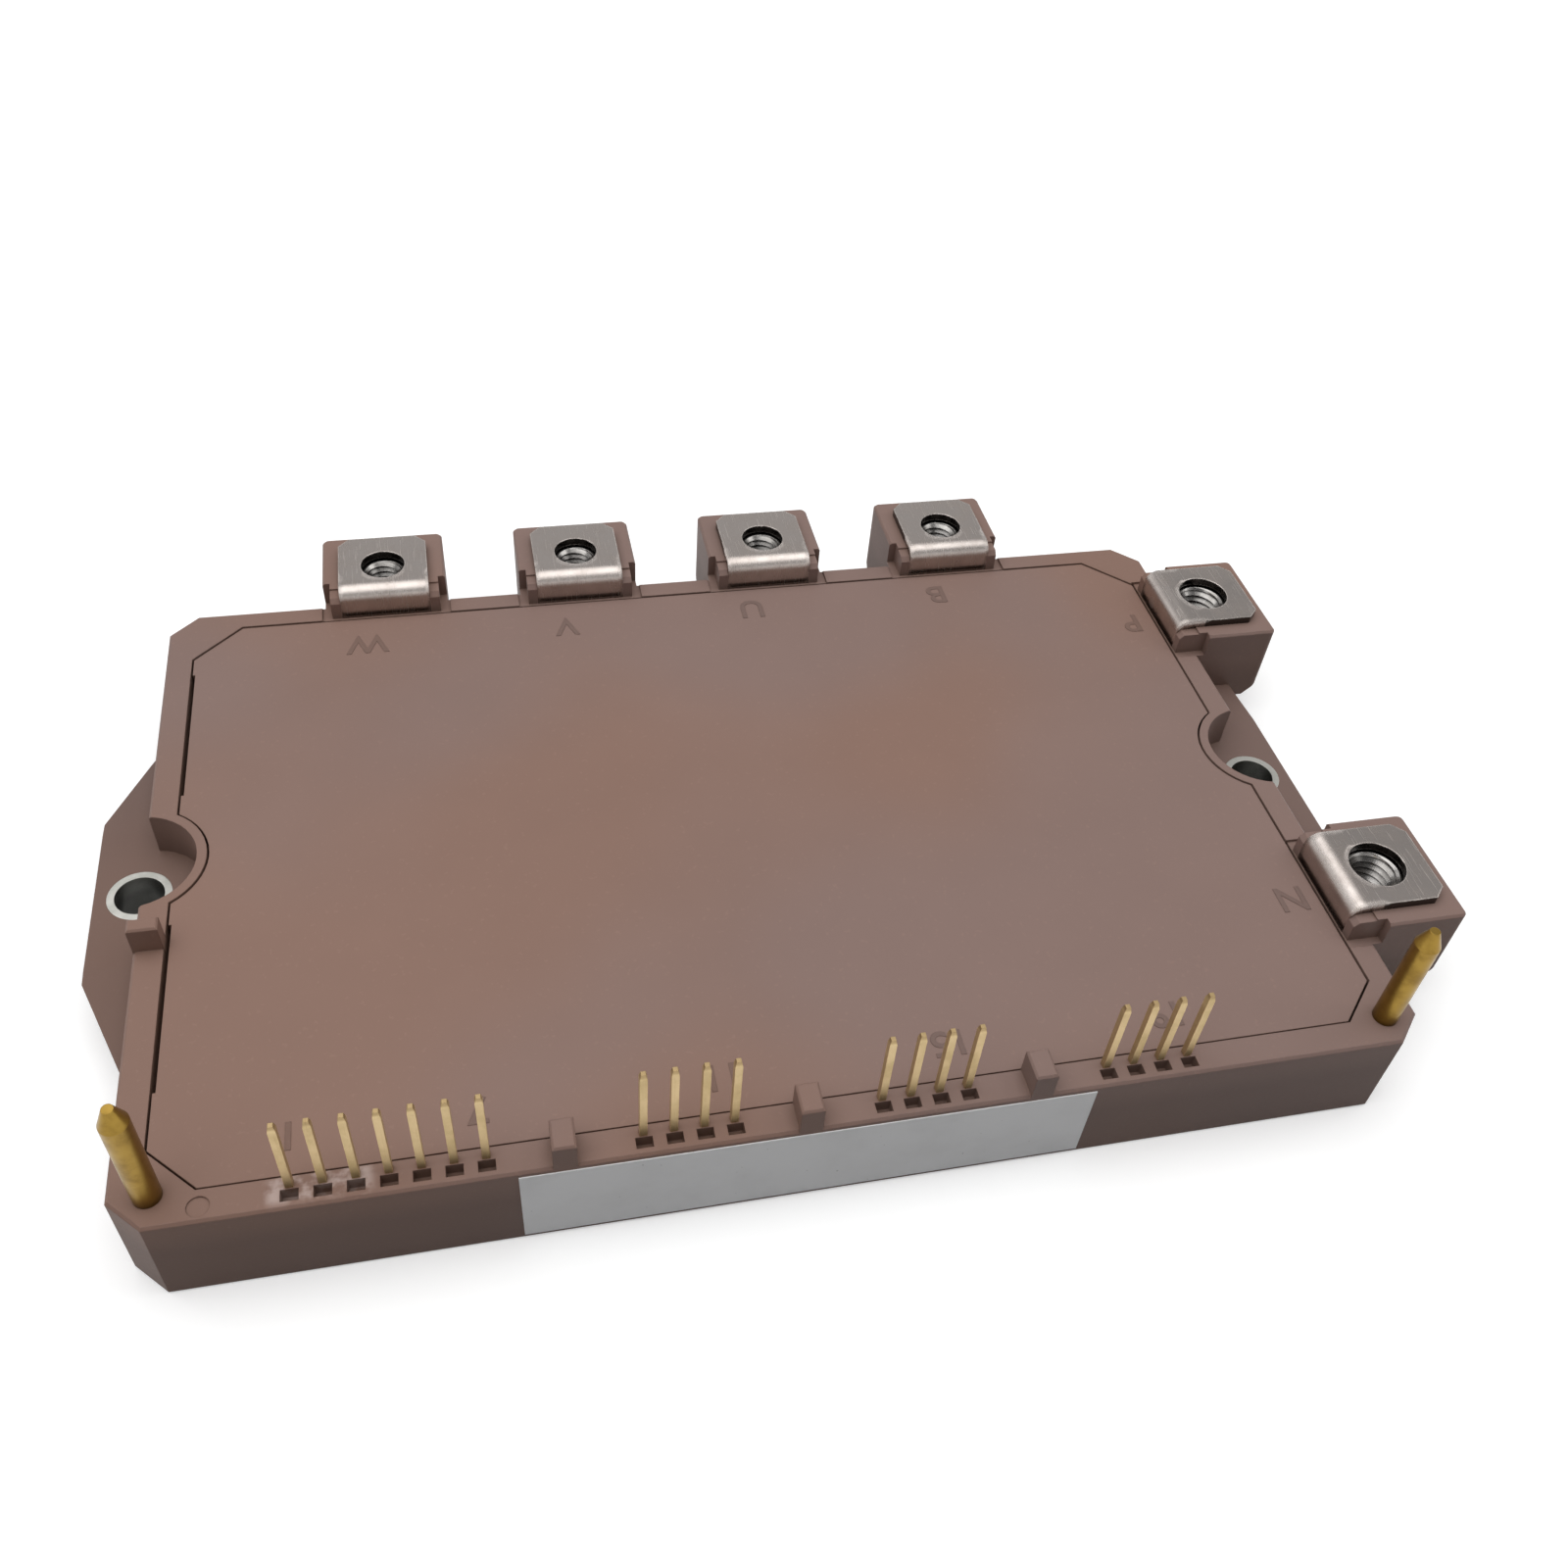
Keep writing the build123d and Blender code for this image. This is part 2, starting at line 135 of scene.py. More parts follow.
for lamp_name, settings in LAMPS.items():
    add_lamp(lamp_name, **settings)
print(len(LAMPS), "lamps")


# %% [markdown]
# ## Small helpers for shader nodes
#
# Every finish is a node tree. A few helpers keep the trees short to write: each adds one
# node, sets its inputs to numbers or to other nodes' sockets, and hands back its result.

# %% Node helpers
def feed(tree, socket, value):
    """Sets an input to a number or colour, or links another node's output to it."""
    if isinstance(value, bpy.types.NodeSocket):
        tree.links.new(value, socket)
    else:
        socket.default_value = value


def add_node(tree, kind, settings=None, **inputs):
    """New shader node. Inputs are named, with _ for a space."""
    made = tree.nodes.new("ShaderNode" + kind)
    for key, value in (settings or {}).items():
        setattr(made, key, value)
    for key, value in inputs.items():
        feed(tree, made.inputs[key.replace("_", " ")], value)
    return made


def calc(tree, operation, *values):
    """Result of one Math node."""
    made = tree.nodes.new("ShaderNodeMath")
    made.operation = operation
    for socket, value in zip(made.inputs, values):
        feed(tree, socket, value)
    return made.outputs[0]


def step(tree, value, low, high, start=0.0, end=1.0):
    """Soft step: start while the value is under low, end once it is over high."""
    smooth = {"interpolation_type": "SMOOTHSTEP"}
    made = add_node(tree, "MapRange", smooth, Value=value, From_Min=low, From_Max=high)
    made.inputs["To Min"].default_value = start
    made.inputs["To Max"].default_value = end
    return made.outputs["Result"]


def mix(tree, factor, first, second, way="MIX"):
    """Mix of two colours."""
    made = add_node(tree, "Mix", {"data_type": "RGBA", "blend_type": way})
    for index, value in ((0, factor), (6, first), (7, second)):
        feed(tree, made.inputs[index], value)
    return made.outputs[2]


def noise(tree, place, scale, detail=2.0, roughness=0.5):
    """Cloudy noise from 0 to 1."""
    made = add_node(tree, "TexNoise", Vector=place, Scale=scale, Detail=detail, Roughness=roughness)
    return made.outputs["Fac"]


def shade(colour, factor):
    """A colour made darker or lighter, as four numbers."""
    return tuple(min(1.0, channel * factor) for channel in colour[:3]) + (1.0,)


# %% Materials and groups
def new_material(name):
    """Material with an empty node tree, its shader and a link to the output."""
    material = bpy.data.materials.new(name)
    material.use_nodes = True
    tree = material.node_tree
    tree.nodes.clear()
    shader = tree.nodes.new("ShaderNodeBsdfPrincipled")
    output = tree.nodes.new("ShaderNodeOutputMaterial")
    tree.links.new(shader.outputs["BSDF"], output.inputs["Surface"])
    return material, tree, shader


def new_group(name, inputs, outputs):
    """Node group with its sockets. Inputs are (kind, name, value), outputs are (kind, name)."""
    group = bpy.data.node_groups.new(name, "ShaderNodeTree")
    for kind, socket_name, value in inputs:
        socket_type = "NodeSocket" + kind
        socket = group.interface.new_socket(socket_name, in_out="INPUT", socket_type=socket_type)
        socket.default_value = value
    for kind, socket_name in outputs:
        group.interface.new_socket(socket_name, in_out="OUTPUT", socket_type="NodeSocket" + kind)
    return group, group.nodes.new("NodeGroupInput").outputs, group.nodes.new("NodeGroupOutput").inputs


def place_group(tree, group, **inputs):
    """The group as a node of a material. Hands back its outputs."""
    placed = tree.nodes.new("ShaderNodeGroup")
    placed.node_tree = group
    for key, value in inputs.items():
        feed(tree, placed.inputs[key.replace("_", " ")], value)
    return placed.outputs


# %% [markdown]
# ## The room
#
# The world lights the object evenly: grey at the horizon, lighter overhead and a little
# towards the right, and dim in front where a photographer would stand. Metal needs such
# differences, because it shows nothing but the room, and soft patches of more and less
# light give it something to mirror. Below a low height the background is white instead,
# for the rays that look at it or mirror it. The floor does the same: camera and mirror
# rays find it white with the object's shadow on it, while it throws back only a little
# light. Away from the object it glows more, so that it meets the background without an
# edge when the camera stands low.

# %% World and floor finish
ROOM_LOW, ROOM_RISE = 0.16, 0.50
FRONT_SPAN, FRONT_DIM = (-0.75, -0.25), 0.82
WINDOW_SIDE, WINDOW_LIGHT = (-0.2, 0.6), (0.92, 1.05)
PATCH_SCALE, PATCH_CONTRAST = 2.6, 0.65
BACKDROP_TOP = (0.42, 0.54)
FLOOR_WHITE = (0.82, 0.82, 0.82, 1.0)
FLOOR_GREY = (0.16, 0.157, 0.153, 1.0)
FLOOR_GLOW = 0.30
FLOOR_FADE = (0.12, 0.6)
PAPER_SCALE = 400.0


def looks_at_room(tree):
    """1 for rays that show the room itself: camera, mirror and see-through rays."""
    path = add_node(tree, "LightPath").outputs
    seen = calc(tree, "MAXIMUM", path["Is Camera Ray"], path["Is Glossy Ray"])
    return calc(tree, "MAXIMUM", seen, path["Is Transmission Ray"])


world = bpy.data.worlds.new("room")
world.use_nodes = True
scene.world = world
room = world.node_tree
room.nodes.clear()
heading = add_node(room, "SeparateXYZ", Vector=add_node(room, "TexCoord").outputs["Generated"]).outputs
height = calc(room, "MAXIMUM", heading["Z"], 0.0)
room_light = calc(room, "ADD", calc(room, "MULTIPLY", height, ROOM_RISE), ROOM_LOW)
front = step(room, heading["Y"], *FRONT_SPAN, FRONT_DIM, 0.0)
room_light = calc(room, "MULTIPLY", room_light, calc(room, "SUBTRACT", 1.0, front))
window = step(room, heading["X"], *WINDOW_SIDE, *WINDOW_LIGHT)
room_light = calc(room, "MULTIPLY", room_light, window)
patches = noise(room, add_node(room, "TexCoord").outputs["Generated"], PATCH_SCALE, 0.0)
patches = calc(room, "MULTIPLY_ADD", patches, 2 * PATCH_CONTRAST, 1 - PATCH_CONTRAST)
room_light = calc(room, "MULTIPLY", room_light, patches)
low_down = step(room, heading["Z"], *BACKDROP_TOP, 1.0, 0.0)
backdrop = calc(room, "MULTIPLY", looks_at_room(room), low_down)
room_light = calc(room, "MULTIPLY", room_light, calc(room, "SUBTRACT", 1.0, backdrop))
room_light = calc(room, "ADD", room_light, backdrop)
background = add_node(room, "Background", Strength=room_light)
background.inputs["Color"].default_value = (1.0, 1.0, 1.0, 1.0)
room.links.new(background.outputs[0], add_node(room, "OutputWorld").inputs["Surface"])

floor_material, floor_tree, floor_shader = new_material("white_table")
seen = looks_at_room(floor_tree)
floor_place = add_node(floor_tree, "TexCoord").outputs["Object"]
paper = noise(floor_tree, floor_place, PAPER_SCALE, 3.0)
white = mix(floor_tree, paper, shade(FLOOR_WHITE, 0.99), FLOOR_WHITE)
feed(floor_tree, floor_shader.inputs["Base Color"], mix(floor_tree, seen, FLOOR_GREY, white))
distance = add_node(floor_tree, "VectorMath", {"operation": "LENGTH"})
floor_tree.links.new(floor_place, distance.inputs[0])
glow = step(floor_tree, distance.outputs["Value"], *FLOOR_FADE, FLOOR_GLOW, 1.0)
glow = calc(floor_tree, "MULTIPLY", seen, glow)
feed(floor_tree, floor_shader.inputs["Emission Strength"], glow)
floor_shader.inputs["Emission Color"].default_value = (1.0, 1.0, 1.0, 1.0)
floor_shader.inputs["Roughness"].default_value = 0.9
floor_shader.inputs["Specular IOR Level"].default_value = 0.1
floor.data.materials.append(floor_material)
print("room and floor are lit")


# %% [markdown]
# ## Effects that several finishes share
#
# Edges, corners and grain occur on nearly every surface here, so each is built once as a
# node group. Worn edges come from a Bevel node: it turns the normal near an edge as a tiny
# rounding would, and where its normal departs from the flat one, there is an edge. Plastic
# turns paler there from wear, and metal gets a painted highlight there.
# Crevices come from Ambient Occlusion, which finds the places where shade falls; the
# finishes darken them there as painted shade.

# %% Edge and crevice groups
EDGE_TURN = (0.80, 0.995)
WEAR_SPAN = (0.38, 0.62)
CREVICE_SPAN = (0.25, 0.9)


def edge_group():
    """Rounded normal near edges, and a mask that is 1 on them."""
    group, given, result = new_group(
        "edge_wear_and_highlight",
        [("Float", "Width", 0.00012), ("Float", "Wear Scale", 700.0)],
        [("Float", "Edge"), ("Float", "Worn"), ("Vector", "Normal")],
    )
    rounded = add_node(group, "Bevel", {"samples": 4}, Radius=given["Width"]).outputs["Normal"]
    flat = add_node(group, "NewGeometry").outputs["True Normal"]
    agree = add_node(group, "VectorMath", {"operation": "DOT_PRODUCT"})
    group.links.new(rounded, agree.inputs[0])
    group.links.new(flat, agree.inputs[1])
    edge = step(group, agree.outputs["Value"], *EDGE_TURN, 1.0, 0.0)
    place = add_node(group, "TexCoord").outputs["Object"]
    patches = step(group, noise(group, place, given["Wear Scale"], 3.0, 0.6), *WEAR_SPAN)
    group.links.new(edge, result["Edge"])
    group.links.new(calc(group, "MULTIPLY", edge, patches), result["Worn"])
    group.links.new(rounded, result["Normal"])
    return group


def crevice_group():
    """Mask that is 1 deep in corners and 0 in the open, for painted shade."""
    group, given, result = new_group("crevice_shade", [("Float", "Reach", 0.0012)], [("Float", "Crevice")])
    reach = given["Reach"]
    open_sky = add_node(group, "AmbientOcclusion", {"samples": 4}, Distance=reach).outputs["AO"]
    group.links.new(step(group, open_sky, *CREVICE_SPAN, 1.0, 0.0), result["Crevice"])
    return group


edge_wear_and_highlight = edge_group()
crevice_shade = crevice_group()
print("groups:", edge_wear_and_highlight.name, "and", crevice_shade.name)


# %% Grain, line and ring groups
SPECK_SPAN = (0.66, 0.74)
MARK_SPAN = (0.35, 0.7)
SCRATCH_TURNS, SCRATCH_STRETCH, SCRATCH_SPAN = (0.6, -0.9), (9000.0, 260.0, 260.0), (0.69, 0.72)
RING_CLIMB = 0.7


def grain_group():
    """Fine moulded grain and soft clouds of tone, in the object's own coordinates."""
    group, given, result = new_group(
        "moulded_grain",
        [
            ("Float", "Grain Scale", 3200.0),
            ("Float", "Cloud Scale", 55.0),
            ("Float", "Speck Scale", 2200.0),
        ],
        [("Float", "Grain"), ("Float", "Clouds"), ("Float", "Specks")],
    )
    place = add_node(group, "TexCoord").outputs["Object"]
    group.links.new(noise(group, place, given["Grain Scale"], 3.0, 0.6), result["Grain"])
    group.links.new(noise(group, place, given["Cloud Scale"], 4.0, 0.55), result["Clouds"])
    specks = step(group, noise(group, place, given["Speck Scale"], 1.0), *SPECK_SPAN)
    group.links.new(specks, result["Specks"])
    return group


def line_group():
    """Lines that rolling or drawing leaves along a metal strip, and darker handling marks."""
    group, given, result = new_group(
        "drawn_lines",
        [("Vector", "Line Scale", (1.0, 1.0, 1.0)), ("Float", "Mark Scale", 350.0)],
        [("Float", "Lines"), ("Float", "Marks"), ("Float", "Scratches")],
    )
    place = add_node(group, "TexCoord").outputs["Object"]
    along = add_node(group, "Mapping", Vector=place, Scale=given["Line Scale"]).outputs["Vector"]
    group.links.new(noise(group, along, 1.0, 2.0, 0.6), result["Lines"])
    marks = step(group, noise(group, place, given["Mark Scale"], 4.0, 0.6), *MARK_SPAN)
    group.links.new(marks, result["Marks"])
    scratches = None
    for turned in SCRATCH_TURNS:
        tilted = add_node(group, "Mapping", Vector=place)
        tilted.inputs["Rotation"].default_value = (0.0, 0.0, turned)
        tilted.inputs["Scale"].default_value = SCRATCH_STRETCH
        ridge = noise(group, tilted.outputs["Vector"], 1.0, 1.0)
        line = step(group, ridge, *SCRATCH_SPAN)
        scratches = line if scratches is None else calc(group, "MAXIMUM", scratches, line)
    group.links.new(scratches, result["Scratches"])
    return group


def ring_group():
    """Fine rings that a lathe or a tap leaves round an axis."""
    group, given, result = new_group(
        "turned_rings",
        [("Vector", "Centre", (0.0, 0.0, 0.0)), ("Float", "Ring Scale", 9000.0)],
        [("Float", "Rings")],
    )
    place = add_node(group, "TexCoord").outputs["Object"]
    offset = add_node(group, "VectorMath", {"operation": "SUBTRACT"})
    group.links.new(place, offset.inputs[0])
    group.links.new(given["Centre"], offset.inputs[1])
    flat = add_node(group, "VectorMath", {"operation": "MULTIPLY"})
    group.links.new(offset.outputs[0], flat.inputs[0])
    flat.inputs[1].default_value = (1.0, 1.0, 0.0)
    radius = add_node(group, "VectorMath", {"operation": "LENGTH"})
    group.links.new(flat.outputs[0], radius.inputs[0])
    rise = add_node(group, "SeparateXYZ", Vector=offset.outputs[0]).outputs["Z"]
    spread = calc(group, "ADD", radius.outputs["Value"], calc(group, "MULTIPLY", rise, RING_CLIMB))
    along = {"noise_dimensions": "1D"}
    rings = add_node(group, "TexNoise", along, W=spread, Scale=given["Ring Scale"], Detail=2.0)
    group.links.new(rings.outputs["Fac"], result["Rings"])
    return group


moulded_grain = grain_group()
drawn_lines = line_group()
turned_rings = ring_group()
print("groups:", [group.name for group in bpy.data.node_groups])


# %% [markdown]
# ## Moulded plastic
#
# The frame and the lid are moulded from a glass-filled plastic, taupe brown and dull.
# Up close such a surface has a fine grain, slightly cloudy colour, pale specks of filler,
# and edges that have worn a little paler. One function makes both, so they match as they
# do on the real module. Surfaces low on the frame, such as its fixing ears, are painted
# darker than the lid: a painted shade for the light that the walls around them keep off.
# Corners and recesses get a warm painted shade as well. The frame also carries pale flux
# stains beside its first pins, where the module was once soldered, so its stain mask is a
# box softened by noise.

# %% Plastic
TAUPE = (0.222, 0.144, 0.119, 1.0)
TAUPE_WARM = (1.04, 0.98, 0.93, 1.0)
TAUPE_COOL = (0.97, 1.01, 1.06, 1.0)
TAUPE_GLOSS = 0.15
CORNER_SHADE_BROWN = (0.130, 0.078, 0.050, 1.0)
FLUX_PALE = (0.46, 0.36, 0.33, 1.0)
FLUX_BOX = ((-44.5, -36.5), (-36.7, -34.3))
LOW_SHADE_LEVELS, LOW_SHADE_SHARE = (5.8 * MM, 9.5 * MM), 0.42
EDGE_WIDTH = 0.14 * MM


def box_mask(tree, place, spans, soft):
    """1 inside a box on the plan, fading out over a soft border. Spans are in millimetres."""
    axes = add_node(tree, "SeparateXYZ", Vector=place).outputs
    mask = None
    for axis, (low, high) in zip("XY", spans):
        for limit, start, end in ((low, 0.0, 1.0), (high, 1.0, 0.0)):
            side = step(tree, axes[axis], (limit - soft) * MM, (limit + soft) * MM, start, end)
            mask = side if mask is None else calc(tree, "MULTIPLY", mask, side)
    return mask


def moulded(name, tone, roughness, grain_height=0.25, gloss=0.5, low_shade=False, stained=False):
    """Dull moulded plastic with grain, clouds, specks, worn edges, and painted shade in corners and
    low down.
    """
    material, tree, shader = new_material(name)
    grain = place_group(tree, moulded_grain)
    edges = place_group(tree, edge_wear_and_highlight, Width=EDGE_WIDTH)
    corner = place_group(tree, crevice_shade)["Crevice"]
    place = add_node(tree, "TexCoord").outputs["Object"]
    colour = mix(tree, grain["Clouds"], shade(tone, 0.92), shade(tone, 1.08))
    drift = step(tree, noise(tree, place, 28.0, 1.0), 0.35, 0.65)
    tint = mix(tree, drift, TAUPE_WARM, TAUPE_COOL)
    colour = mix(tree, 1.0, colour, tint, "MULTIPLY")
    colour = mix(tree, calc(tree, "MULTIPLY", grain["Specks"], 0.12), colour, shade(tone, 1.5))
    if stained:
        patches = step(tree, noise(tree, place, 700.0, 3.0, 0.55), 0.38, 0.62)
        stain = calc(tree, "MULTIPLY", box_mask(tree, place, FLUX_BOX, 0.5), patches)
        colour = mix(tree, calc(tree, "MULTIPLY", stain, 0.8), colour, FLUX_PALE)
    # Painted shade: surfaces below 9.5 mm turn darker, for the light that the walls keep off the low
    # ledges.
    if low_shade:
        rise = add_node(tree, "SeparateXYZ", Vector=place).outputs["Z"]
        colour = mix(tree, step(tree, rise, *LOW_SHADE_LEVELS, LOW_SHADE_SHARE, 0.0), colour, shade(tone, 0.45))
    colour = mix(tree, calc(tree, "MULTIPLY", edges["Worn"], 0.55), colour, shade(tone, 1.75))
    # Painted shade: corners and recesses turn darker, warm brown on the frame and lid.
    corner_shade_tone = CORNER_SHADE_BROWN if low_shade else shade(tone, 0.4)
    colour = mix(tree, calc(tree, "MULTIPLY", corner, 0.45), colour, corner_shade_tone)
    feed(tree, shader.inputs["Base Color"], colour)
    shader.inputs["Specular IOR Level"].default_value = gloss
    rough = calc(tree, "MULTIPLY_ADD", grain["Grain"], 0.16, roughness - 0.08)
    feed(tree, shader.inputs["Roughness"], rough)
    bump = add_node(tree, "Bump", Height=grain["Grain"], Normal=edges["Normal"])
    bump.inputs["Strength"].default_value = grain_height
    bump.inputs["Distance"].default_value = 0.03 * MM
    feed(tree, shader.inputs["Normal"], bump.outputs["Normal"])
    return material


case_plastic = moulded("case_plastic", TAUPE, 0.50, gloss=TAUPE_GLOSS, low_shade=True, stained=True)
lid_plastic = moulded("lid_plastic", shade(TAUPE, 1.03), 0.48, gloss=TAUPE_GLOSS, low_shade=True)
print("plastics:", case_plastic.name, lid_plastic.name)


# %% [markdown]
# ## Metals
#
# The metals differ in how they were made. Terminals are stamped from plated strip, so
# they have long rolling lines and dull handling marks. Pins are drawn square wire. The
# collars, guide pins and nuts are turned, so fine rings run round their axes. Colour and
# roughness both follow those marks, because on metal a mark is mostly a change of gloss.

# %% Strip and wire
def past_riser(tree, place):
    """How far a point of any terminal lies outwards of the upright part of its strip."""
    axes = add_node(tree, "SeparateXYZ", Vector=place).outputs
    past_back = calc(tree, "SUBTRACT", axes["Y"], BACK_RISER)
    past_side = calc(tree, "SUBTRACT", axes["X"], SIDE_RISER)
    return calc(tree, "MAXIMUM", past_back, past_side)


def upright_shade_mask(tree, distance):
    """1 on the upright faces outwards of the riser: walls of the holes and sides of the flat plates,
    for painted shade.
    """
    outward = step(tree, distance, 0.9 * MM, 1.1 * MM)
    normal = add_node(tree, "NewGeometry").outputs["True Normal"]
    facing = add_node(tree, "SeparateXYZ", Vector=normal).outputs["Z"]
    upright = step(tree, calc(tree, "ABSOLUTE", facing), 0.3, 0.6, 1.0, 0.0)
    return calc(tree, "MULTIPLY", outward, upright)


def strip_metal(
    name, tone, stain, roughness, line_scale,
    edge_width=0.2 * MM, dark=0.9, dark_end=None, stamped=False,
):
    """Rolled or drawn metal with lines along it, duller marks, painted edge highlights and painted
    corner shade.
    """
    material, tree, shader = new_material(name)
    place = add_node(tree, "TexCoord").outputs["Object"]
    if stamped:
        distance = past_riser(tree, place)
        edge_width = step(tree, distance, *BEND_SPAN, BEND_SOFTNESS, edge_width)
    lines = place_group(tree, drawn_lines, Line_Scale=line_scale)
    edges = place_group(tree, edge_wear_and_highlight, Width=edge_width, Wear_Scale=900.0)
    corner = place_group(tree, crevice_shade, Reach=1.6 * MM)["Crevice"]
    colour = mix(tree, lines["Marks"], tone, stain)
    # Painted shade and painted dark reflection: the plates' upright sides and hole walls turn near
    # black.
    if stamped:
        colour = mix(tree, calc(tree, "MULTIPLY", upright_shade_mask(tree, distance), 0.95), colour, SIDE_SHADE_DARK)
    # Painted highlight: patches along the edges turn much paler, for the bright line that the rounded
    # edges show.
    colour = mix(tree, calc(tree, "MULTIPLY", edges["Worn"], 0.8), colour, shade(tone, 1.6))
    # Painted shade: corners and recesses turn nearly black.
    colour = mix(tree, calc(tree, "MULTIPLY", corner, dark), colour, shade(stain, 0.12))
    if dark_end:
        level, end_colour = dark_end
        rise = add_node(tree, "SeparateXYZ", Vector=place).outputs["Z"]
        colour = mix(tree, step(tree, rise, level - 0.15 * MM, level + 0.15 * MM), colour, end_colour)
    feed(tree, shader.inputs["Base Color"], colour)
    rough = calc(tree, "MULTIPLY_ADD", lines["Lines"], 0.03, roughness - 0.015)
    rough = calc(tree, "MULTIPLY_ADD", lines["Marks"], 0.08, rough)
    rough = calc(tree, "MULTIPLY_ADD", lines["Scratches"], 0.12, rough)
    feed(tree, shader.inputs["Roughness"], rough)
    relief = calc(tree, "SUBTRACT", lines["Lines"], lines["Scratches"])
    bump = add_node(tree, "Bump", Height=relief, Normal=edges["Normal"])
    bump.inputs["Strength"].default_value = 0.01
    bump.inputs["Distance"].default_value = 0.01 * MM
    feed(tree, shader.inputs["Normal"], bump.outputs["Normal"])
    shader.inputs["Metallic"].default_value = 1.0
    return material


HOLE_REACH = 2.7 * MM
BACK_RISER = sum(corner.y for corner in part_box("nut_w")) / 2 - HOLE_REACH
SIDE_RISER = sum(corner.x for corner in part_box("nut_n")) / 2 - HOLE_REACH
BEND_SPAN, BEND_SOFTNESS = (0.8 * MM, 1.8 * MM), 0.9 * MM
SIDE_SHADE_DARK = (0.050, 0.042, 0.038, 1.0)
NICKEL = (0.52, 0.47, 0.44, 1.0)
NICKEL_STAIN = (0.44, 0.39, 0.36, 1.0)
PIN_GOLD = (0.60, 0.46, 0.26, 1.0)
PIN_STAIN = (0.50, 0.38, 0.20, 1.0)
PIN_TIP_DARK = (0.40, 0.29, 0.15, 1.0)
PIN_TIP_LEVEL = 18.65 * MM
ALONG_Y, ALONG_X, ALONG_Z = (4000.0, 110.0, 110.0), (110.0, 4000.0, 110.0), (4000.0, 4000.0, 120.0)
back_strip = strip_metal("terminal_metal_back", NICKEL, NICKEL_STAIN, 0.20, ALONG_Y, stamped=True)
side_strip = strip_metal("terminal_metal_side", NICKEL, NICKEL_STAIN, 0.20, ALONG_X, stamped=True)
pin_metal = strip_metal(
    "pin_metal", PIN_GOLD, PIN_STAIN, 0.48, ALONG_Z,
    edge_width=0.08 * MM, dark=0.4, dark_end=(PIN_TIP_LEVEL, PIN_TIP_DARK),
)
print("strips and wire:", back_strip.name, side_strip.name, pin_metal.name)


# %% Turned metal
def turned_metal(name, centre, tone, stain, roughness, reach, ring_scale=9000.0):
    """Metal with fine rings round a point on the plan."""
    material, tree, shader = new_material(name)
    rings = place_group(tree, turned_rings, Centre=centre, Ring_Scale=ring_scale)["Rings"]
    edges = place_group(tree, edge_wear_and_highlight, Width=0.08 * MM, Wear_Scale=900.0)
    corner = place_group(tree, crevice_shade, Reach=reach)["Crevice"]
    place = add_node(tree, "TexCoord").outputs["Object"]
    dull = step(tree, noise(tree, place, 500.0, 4.0, 0.6), 0.35, 0.7)
    colour = mix(tree, dull, tone, stain)
    # Painted highlight: patches along the edges turn paler.
    colour = mix(tree, calc(tree, "MULTIPLY", edges["Worn"], 0.5), colour, shade(tone, 1.3))
    # Painted shade: bores, thread grooves and corners turn nearly black.
    colour = mix(tree, calc(tree, "MULTIPLY", corner, 0.95), colour, shade(stain, 0.08))
    feed(tree, shader.inputs["Base Color"], colour)
    rough = calc(tree, "MULTIPLY_ADD", rings, 0.16, roughness - 0.08)
    feed(tree, shader.inputs["Roughness"], calc(tree, "MULTIPLY_ADD", dull, 0.08, rough))
    bump = add_node(tree, "Bump", Height=rings, Normal=edges["Normal"])
    bump.inputs["Strength"].default_value = 0.2
    bump.inputs["Distance"].default_value = 0.01 * MM
    feed(tree, shader.inputs["Normal"], bump.outputs["Normal"])
    shader.inputs["Metallic"].default_value = 1.0
    return material


TURNED = {
    "collar_metal": {
        "tone": (0.60, 0.59, 0.55, 1.0), "stain": (0.46, 0.46, 0.42, 1.0),
        "roughness": 0.34, "reach": 5.0 * MM,
    },
    "guide_brass": {
        "tone": (0.33, 0.21, 0.045, 1.0), "stain": (0.23, 0.14, 0.03, 1.0),
        "roughness": 0.32, "reach": 1.5 * MM,
    },
    "nut_steel": {
        "tone": (0.54, 0.52, 0.50, 1.0), "stain": (0.38, 0.36, 0.34, 1.0),
        "roughness": 0.20, "reach": 3.6 * MM,
    },
}


def turned_finish(node_name, slot):
    """The turned metal of a slot, with its rings round one node's own axis."""
    low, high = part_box(node_name)
    middle = (low + high) / 2
    return turned_metal(slot + "_" + node_name, (middle.x, middle.y, middle.z), **TURNED[slot])


# %% [markdown]
# ## Label, base and what lies inside
#
# The label on the front wall is white film that has been handled: very faint smudges and
# dark specks. It is left bare. The base plate is ground metal with straight lines. The
# circuits inside are seen only if the module is taken apart, but each still gets its own
# finish: ceramic, silicon, a woven board, black plastic circuits and clear soft gel.

# %% Label
LABEL_WHITE = (0.95, 0.955, 0.97, 1.0)
LABEL_SMUDGE = (0.86, 0.86, 0.87, 1.0)


